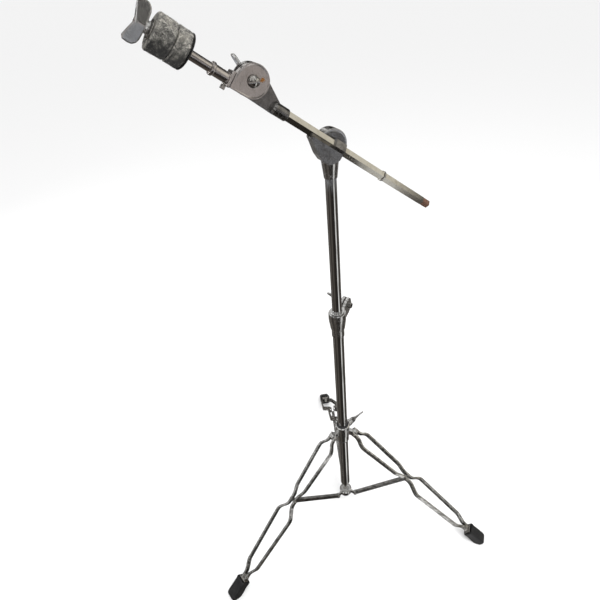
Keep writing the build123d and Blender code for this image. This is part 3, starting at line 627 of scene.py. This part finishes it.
def tilterHead():
    # teardrop plate with a raised rim, the flange across its end and the neck for the post
    bm = bmesh.new()
    start, end = (math.radians(angle) for angle in head["arc"])
    outline = []
    for step in range(head["arcSteps"] + 1):
        angle = start + (end - start) * step / head["arcSteps"]
        outline.append((head["centre"][0] + head["radius"] * math.cos(angle),
                        head["centre"][1] + head["radius"] * math.sin(angle)))
    outline += head["corners"]
    back = bm.faces.new([bm.verts.new((x * mm, y * mm, head["back"] * mm)) for x, y in outline])
    made = bmesh.ops.extrude_face_region(bm, geom=[back])["geom"]
    front = [item for item in made if isinstance(item, bmesh.types.BMFace)]
    bmesh.ops.translate(bm, verts=[item for item in made if isinstance(item, bmesh.types.BMVert)],
                        vec=(0, 0, (head["front"] - head["back"]) * mm))
    bmesh.ops.recalc_face_normals(bm, faces=bm.faces)
    bevelAll(bm, list({edge for face in front for edge in face.edges}), head["edge"] * mm, 3)
    front = [face for face in bm.faces if face.normal.z < -0.99 and face.calc_area() > head["faceArea"]]
    bmesh.ops.inset_region(bm, faces=front, thickness=head["rim"] * mm)
    bmesh.ops.inset_region(bm, faces=front, thickness=head["rimSlope"] * mm, depth=-head["recess"] * mm)
    for face in bm.faces:
        face.material_index = 0 if face in front else 1
    plate = set(bm.faces)
    low, high = (Vector(corner) * mm for corner in head["flange"])
    box = bmesh.ops.create_cube(bm, size=1)["verts"]
    bmesh.ops.scale(bm, verts=box, vec=high - low)
    bmesh.ops.translate(bm, verts=box, vec=(high + low) / 2)
    bevelAll(bm, list({edge for v in box for edge in v.link_edges}), head["flangeRound"] * mm, 3)
    neck = bmesh.new()
    spun(neck, [(r * mm, z * mm) for r, z in head["neck"]], closed=True)
    neck.transform(Matrix.Rotation(math.pi / 2, 4, "Y"))
    shell = bpy.data.meshes.new("neckShell")
    neck.to_mesh(shell)
    neck.free()
    bm.from_mesh(shell)
    bpy.data.meshes.remove(shell)
    for face in bm.faces:
        if face not in plate:
            face.material_index = 1
    piece = asObject("tilter_head_plate", bm, "satin_chrome", "cymbal_end", ["tilter_head"], boomFrame)
    piece.data.materials.clear()
    piece.data.materials.append(tilterFaceMaterial(boomFrame @ (Vector(head["stain"]) * mm)))
    piece.data.materials.append(finishes["cast_chrome"])
    addModifier(piece, "WEIGHTED_NORMAL", keep_sharp=False)


tilterHead()
print("tilter head made")

thread = {"pitch": 1.25, "depth": 0.34, "steps": 28, "sunk": 0.08, "foot": 0.42, "crest": 0.08}
# body, frame, shank radius, heights between which it runs
threads = {
    "top_thread": ("cymbal_end", postFrame, 4.0, 302.8, 304.6),
    "boom_bolt_thread": ("boom_clamp", boomFrame, 4.0, 50.4, 58.4),
    "tilter_bolt_thread": ("boom", tilterFrame, 4.0, 23.0, 28.2),
    "base_thread": ("base", Matrix.Translation(tubeFoot), 4.5, 17.8, 21.4),
}


def threadOn(name, body, matrix, radius, low, high):
    # a helical ridge wound on the plain shank; its foot and crest are half widths in pitches
    pitch = thread["pitch"] * mm
    turns = (high - low) / thread["pitch"]
    bm = bmesh.new()
    inner, outer = (radius - thread["sunk"]) * mm, (radius + thread["depth"]) * mm
    foot, crest = thread["foot"] * pitch, thread["crest"] * pitch
    ridge = [(inner, -foot), (outer, -crest), (outer, crest), (inner, foot)]
    face = bm.faces.new([bm.verts.new((x, 0, z + low * mm)) for x, z in ridge])
    steps = int(turns * thread["steps"])
    bmesh.ops.spin(bm, geom=[face], cent=(0, 0, 0), axis=(0, 0, 1), dvec=(0, 0, turns * pitch / steps),
                   angle=turns * math.tau, steps=steps, use_duplicate=False)
    asObject(name, bm, "hardware_steel", body, [], matrix)


for name, settings in threads.items():
    threadOn(name, *settings)
print("threads cut")


felt = {
    "radius": 22.3, "round": 1.9, "cuts": 9, "steps": 150, "lump": 0.42, "nap": 0.16, "shrink": 0.1,
    "lumpScale": 140, "napScale": 900, "flatNap": 0.35, "rimWidth": 4, "boreGuard": 1,
    "lower": (247.1, 264.35), "upper": (265.0, 287.25), "lowerBore": 5.7, "upperBore": 6.0,
    # painted shade: little on top, more on the side that faces down, in patches
    "topShade": 0.10, "sideShade": 0.50, "shadeSlant": 0.80, "shadeScale": 130, "shadePatch": 0.5, "shadeMost": 0.95,
}


def feltRing(name, low, high, bore, seed, body, node):
    r, edge = felt["radius"], felt["round"]
    profile = [(bore, low), (r - edge, low), (r - edge * 0.3, low + edge * 0.3), (r, low + edge),
               (r, high - edge), (r - edge * 0.3, high - edge * 0.3), (r - edge, high), (bore, high)]
    bm = bmesh.new()
    verts = [bm.verts.new((x * mm, 0, z * mm)) for x, z in profile]
    edges = [bm.edges.new(pair) for pair in zip(verts, verts[1:] + verts[:1])]
    long = [e for e in edges if e.calc_length() > 3 * mm]
    bmesh.ops.subdivide_edges(bm, edges=long, cuts=felt["cuts"])
    bmesh.ops.spin(bm, geom=bm.verts[:] + bm.edges[:], cent=(0, 0, 0), axis=(0, 0, 1), angle=math.tau,
                   steps=felt["steps"], use_merge=True)
    weld(bm)
    bmesh.ops.recalc_face_normals(bm, faces=bm.faces)
    bm.normal_update()
    away = Vector((3.1, 1.7, 0.9)) * seed
    for v in bm.verts:
        out = math.hypot(v.co.x, v.co.y) / mm
        if out < bore + felt["boreGuard"]:
            continue
        rim = min(1.0, max(0.0, (out - r + felt["rimWidth"]) / felt["rimWidth"]))  # flats stay clear of neighbours
        lump = noise.noise(v.co * felt["lumpScale"] + away) * felt["lump"] * rim
        nap = noise.fractal(v.co * felt["napScale"] + away, 0.8, 2.0, 3) * felt["nap"]
        nap *= felt["flatNap"] + (1 - felt["flatNap"]) * rim
        v.co += v.normal * (lump + nap - felt["shrink"]) * mm
    bm.normal_update()
    # painted shade, stored per vertex: darker on the side that faces down, broken into noise patches
    shadeLayer = bm.verts.layers.float.new("paintedShade")
    for v in bm.verts:
        onTop = v.normal.z > 0.7
        amount = felt["topShade"] if onTop else felt["sideShade"] - v.normal.y * felt["shadeSlant"]
        amount += noise.noise(v.co * felt["shadeScale"] + away) * felt["shadePatch"]
        v[shadeLayer] = max(0.0, min(felt["shadeMost"], amount))
    piece = asObject(name, bm, "wool_felt", body, [node], postFrame)


fuzz = {"count": 520, "radius": 0.035, "inset": 0.4, "reach": (1.2, 3.6), "lift": (0.15, 0.9),
        "slant": 1.2, "bow": 0.5, "sunk": 0.1, "arch": 0.8, "parts": 4}


def feltFuzz(name, low, high, seed, body):
    # loose fibres standing off the side of a felt
    pick = random.Random(seed)
    curve = bpy.data.curves.new(name, "CURVE")
    curve.dimensions = "3D"
    curve.bevel_depth = fuzz["radius"] * mm
    curve.bevel_resolution = 0
    for _ in range(fuzz["count"]):
        turn, height = pick.uniform(0, math.tau), pick.uniform(low + fuzz["inset"], high - fuzz["inset"])
        reach, lift = pick.uniform(*fuzz["reach"]), pick.uniform(*fuzz["lift"])
        slant, bow = pick.uniform(-fuzz["slant"], fuzz["slant"]), pick.uniform(-fuzz["bow"], fuzz["bow"])
        spline = curve.splines.new("POLY")
        spline.points.add(fuzz["parts"])
        for step, point in enumerate(spline.points):
            part = step / fuzz["parts"]
            out = felt["radius"] - fuzz["sunk"] + lift * math.sin(part * math.pi * fuzz["arch"])
            angle = turn + part * reach * math.cos(slant) / felt["radius"]
            tall = height + (part * math.sin(slant) + bow * part * part) * reach
            point.co = (out * math.cos(angle) * mm, out * math.sin(angle) * mm,
                        min(high, max(low, tall)) * mm, 1.0)
    piece = bpy.data.objects.new(name, curve)
    bpy.context.scene.collection.objects.link(piece)
    curve.materials.append(finishes["wool_felt"])
    curve.transform(postFrame)
    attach(piece, body)


feltRing("lower_wool", *felt["lower"], felt["lowerBore"], 1, "cymbal_end", "lower_felt")
feltRing("upper_wool", *felt["upper"], felt["upperBore"], 2, "top_felt", "upper_felt")
feltFuzz("lower_fuzz", *felt["lower"], 11, "cymbal_end")
feltFuzz("upper_fuzz", *felt["upper"], 12, "top_felt")
print("felts made")


boot = {
    "length": 43.0, "width": 27.0, "depth": 25.0, "corner": 6.0, "cornerSteps": 7,
    "lip": 3.2, "pocket": 9.0, "soleEdge": 1.0, "edge": 0.5, "segments": 2, "sharp": 38,
    # distance from the mouth, share of the full section
    "rings": [(0.0, 0.965), (1.2, 1.0), (4.2, 1.0), (5.2, 0.955), (14.0, 0.965), (26.0, 0.99), (37.0, 1.0),
              (41.0, 0.965), (43.0, 0.87)],
}


def rubberFoot(number):
    bm = bmesh.new()
    bmesh.ops.create_cube(bm, size=1)
    bmesh.ops.scale(bm, verts=bm.verts, vec=(boot["length"] * mm, boot["width"] * mm, boot["depth"] * mm))
    bmesh.ops.translate(bm, verts=bm.verts, vec=(boot["length"] * mm / 2, 0, 0))
    long = [e for e in bm.edges if abs(e.verts[0].co.x - e.verts[1].co.x) > mm]
    bevelAll(bm, long, boot["corner"] * mm, boot["cornerSteps"])
    for place, _ in boot["rings"][1:-1]:
        bmesh.ops.bisect_plane(bm, geom=wholeMesh(bm), plane_co=(place * mm, 0, 0), plane_no=(1, 0, 0))
    for v in bm.verts:
        share = min(boot["rings"], key=lambda ring: abs(ring[0] * mm - v.co.x))[1]
        v.co.y *= share
        v.co.z *= share
    mouth = [f for f in bm.faces if f.normal.x < -0.9]
    bmesh.ops.inset_region(bm, faces=mouth, thickness=boot["lip"] * mm)
    pushed = bmesh.ops.extrude_face_region(bm, geom=[f for f in bm.faces if f.normal.x < -0.9
                                                     and f.calc_center_median().length < mm])
    bmesh.ops.delete(bm, geom=[f for f in mouth if f.is_valid and f.calc_center_median().x < 0.01 * mm
                               and f.calc_center_median().length < 0.01 * mm], context="FACES")
    bmesh.ops.translate(bm, verts=[v for v in pushed["geom"] if isinstance(v, bmesh.types.BMVert)],
                        vec=(boot["pocket"] * mm, 0, 0))
    bmesh.ops.recalc_face_normals(bm, faces=bm.faces)
    bm.transform(legFrame(number) @ Matrix.Translation((leg["length"], 0, 0)))
    cut = bmesh.ops.bisect_plane(bm, geom=wholeMesh(bm), plane_co=(0, 0, 0), plane_no=(0, 0, 1), clear_inner=True)
    rim = [e for e in cut["geom_cut"] if isinstance(e, bmesh.types.BMEdge)]
    sole = bmesh.ops.contextual_create(bm, geom=rim)["faces"]
    bmesh.ops.inset_region(bm, faces=sole, thickness=boot["soleEdge"] * mm)
    for v in {v for f in sole for v in f.verts}:
        v.co.z = 0.0
    piece = asObject(f"rubber_foot_{number}", bm, "foot_rubber", f"leg_{number}", [f"leg_{number}_foot"])
    roundEdges(piece, boot["edge"], boot)


for number in (1, 2, 3):
    rubberFoot(number)
print("feet made")

studio = {
    "floor": (0.90, 0.90, 0.90), "floorSize": 60.0,
    "sky": (1.0, 1.0, 1.0), "skyStrength": 1.0,
    # the room that polished metal sees in place of the sky
    "roomDark": (0.010, 0.009, 0.008), "roomMiddle": (0.11, 0.105, 0.10), "roomLight": (1.0, 0.99, 0.97),
    "roomNoise": (2.6, 2.0, 0.5, 0.4), "roomRise": 0.20, "middleRange": (0.40, 0.60), "lightRange": (0.60, 0.66),
    "window": (0.86, 0.82, 0.73), "windowSide": (0.80, 0.90), "windowFoot": (0.02, 0.10),
    # what it sees of the floor: bearing from the tube in degrees, 0 towards the viewer, then colour
    "bearings": [(-180, (0.10, 0.09, 0.08)), (-150, (0.45, 0.44, 0.42)), (-128, (0.05, 0.045, 0.04)),
                 (-96, (0.20, 0.18, 0.16)), (-70, (0.03, 0.026, 0.022)), (-36, (0.14, 0.125, 0.11)),
                 (-14, (0.035, 0.03, 0.026)), (22, (0.02, 0.018, 0.016)), (40, (0.05, 0.045, 0.04)),
                 (46, (1.25, 1.24, 1.22)), (62, (1.15, 1.14, 1.12)), (70, (0.12, 0.11, 0.10)),
                 (104, (0.03, 0.027, 0.024)), (140, (0.24, 0.22, 0.20)), (158, (0.55, 0.54, 0.52)),
                 (180, (0.10, 0.09, 0.08))],
    "wobble": 0.35, "wobbleNoise": (3.2, 3.0),
    "patch": (0.06, 0.055, 0.05), "patchNoise": (7.0, 2.0), "patchRange": (0.5, 0.62), "patchMost": 0.55,
    "blotchNoise": (5.5, 3.0), "blotchRange": (0.49, 0.55),
    "middleTone": (0.03, 0.03, 0.033), "middleLight": (0.85, 0.87, 0.92), "farTone": (0.46, 0.425, 0.405),
    "zones": (1.9, 2.4, 3.6, 4.4),  # metres: near floor ends, middle starts, middle ends, far starts
}


def floorSeen(t):
    # painted reflection: streaks of light and shade round the stand, blotches further out, then one plain tone
    where = t.add("TexCoord").outputs["Object"]
    shifted = t.add("VectorMath", {0: where, 1: tuple(tubeFoot)}, operation="SUBTRACT").outputs[0]
    part = t.add("SeparateXYZ", {"Vector": shifted})
    bearing = t.math("ARCTAN2", part.outputs["X"], t.times(part.outputs["Y"], -1.0))
    wobble = t.centred(t.noise(where, *studio["wobbleNoise"]), studio["wobble"])
    share = t.ramp(t.plus(bearing, wobble), -math.pi, math.pi, smooth=False)
    tone = t.add("ValToRGB", {"Fac": share})
    stops = tone.color_ramp.elements
    places = [((angle + 180) / 360, colour) for angle, colour in studio["bearings"]]
    for stop, (place, colour) in zip((stops[0], stops[1]), (places[0], places[-1])):
        stop.position, stop.color = place, opaque(colour)
    for place, colour in places[1:-1]:
        stops.new(place).color = opaque(colour)
    patch = t.ramp(t.noise(where, *studio["patchNoise"]), *studio["patchRange"], 0.0, studio["patchMost"])
    patchy = t.mix(patch, tone.outputs["Color"], opaque(studio["patch"]))
    reach = t.add("VectorMath", {0: shifted}, operation="LENGTH").outputs["Value"]
    nearEnd, middleFrom, middleEnd, farFrom = studio["zones"]
    blotch = t.ramp(t.noise(where, *studio["blotchNoise"]), *studio["blotchRange"])
    middle = t.mix(blotch, opaque(studio["middleTone"]), opaque(studio["middleLight"]))
    further = t.mix(t.ramp(reach, middleEnd, farFrom), middle, opaque(studio["farTone"]))
    return t.mix(t.ramp(reach, nearEnd, middleFrom), patchy, further)


def makeFloor():
    bm = bmesh.new()
    bmesh.ops.create_grid(bm, x_segments=1, y_segments=1, size=studio["floorSize"])
    data = bpy.data.meshes.new("floor")
    bm.to_mesh(data)
    bm.free()
    floor = bpy.data.objects.new("floor", data)
    bpy.context.scene.collection.objects.link(floor)
    material = bpy.data.materials.new("paleFloor")
    material.use_nodes = True
    material.node_tree.nodes.clear()
    t = Tree(material.node_tree)
    pale = t.add("BsdfDiffuse", {"Color": opaque(studio["floor"])})
    # polished metal sees a painted reflection that glows on the floor; all other rays see the plain pale floor
    seen = t.add("Emission", {"Color": floorSeen(t), "Strength": 1.0})
    path = t.add("LightPath")
    either = t.add("MixShader", {0: path.outputs["Is Glossy Ray"], 1: pale.outputs[0], 2: seen.outputs[0]})
    output = t.add("OutputMaterial")
    join(t, either.outputs[0], output.inputs["Surface"])
    data.materials.append(material)


def makeWorld():
    world = bpy.data.worlds.new("studio")
    bpy.context.scene.world = world
    world.use_nodes = True
    world.node_tree.nodes.clear()
    t = Tree(world.node_tree)
    sky = t.add("Background", {"Color": opaque(studio["sky"]), "Strength": studio["skyStrength"]})
    where = t.add("TexCoord").outputs["Generated"]
    split = t.add("SeparateXYZ", {"Vector": where})
    rise = t.times(split.outputs["Z"], studio["roomRise"])
    shade = t.plus(t.noise(where, *studio["roomNoise"]), rise)
    dim = t.mix(t.ramp(shade, *studio["middleRange"]), opaque(studio["roomDark"]), opaque(studio["roomMiddle"]))
    patched = t.mix(t.ramp(shade, *studio["lightRange"]), dim, opaque(studio["roomLight"]))
    side = t.ramp(split.outputs["X"], *studio["windowSide"])
    lit = t.times(side, t.ramp(split.outputs["Z"], *studio["windowFoot"]))
    tone = t.mix(lit, patched, opaque(studio["window"]))
    room = t.add("Background", {"Color": tone, "Strength": 1.0})
    path = t.add("LightPath")
    either = t.add("MixShader", {0: path.outputs["Is Glossy Ray"], 1: sky.outputs[0], 2: room.outputs[0]})
    output = t.add("OutputWorld")
    join(t, either.outputs[0], output.inputs["Surface"])


# place, aim, size, power, whether polished metal shows it
softboxes = {
    "overheadBox": ((0.5, -0.8, 2.6), (0.0, 0.0, 0.5), (1.2, 0.8), 26, False),
    "windowBox": ((1.5, -1.5, 1.3), (0.0, 0.0, 0.7), (0.30, 1.9), 16, False),
    "farBox": ((-2.0, 0.7, 1.5), (0.0, 0.0, 0.7), (0.35, 1.6), 10, True),
}


def softbox(name, place, aim, size, power, reflected):
    data = bpy.data.lights.new(name, "AREA")
    data.shape = "RECTANGLE"
    data.size, data.size_y = size
    data.energy = power
    lamp = bpy.data.objects.new(name, data)
    lamp.visible_glossy = reflected
    bpy.context.scene.collection.objects.link(lamp)
    direction = Vector(aim) - Vector(place)
    lamp.matrix_world = Matrix.Translation(place) @ direction.to_track_quat("-Z", "Y").to_matrix().to_4x4()


makeFloor()
makeWorld()
for name, settings in softboxes.items():
    softbox(name, *settings)
bpy.context.scene.view_settings.view_transform = "Standard"
print("studio lit")
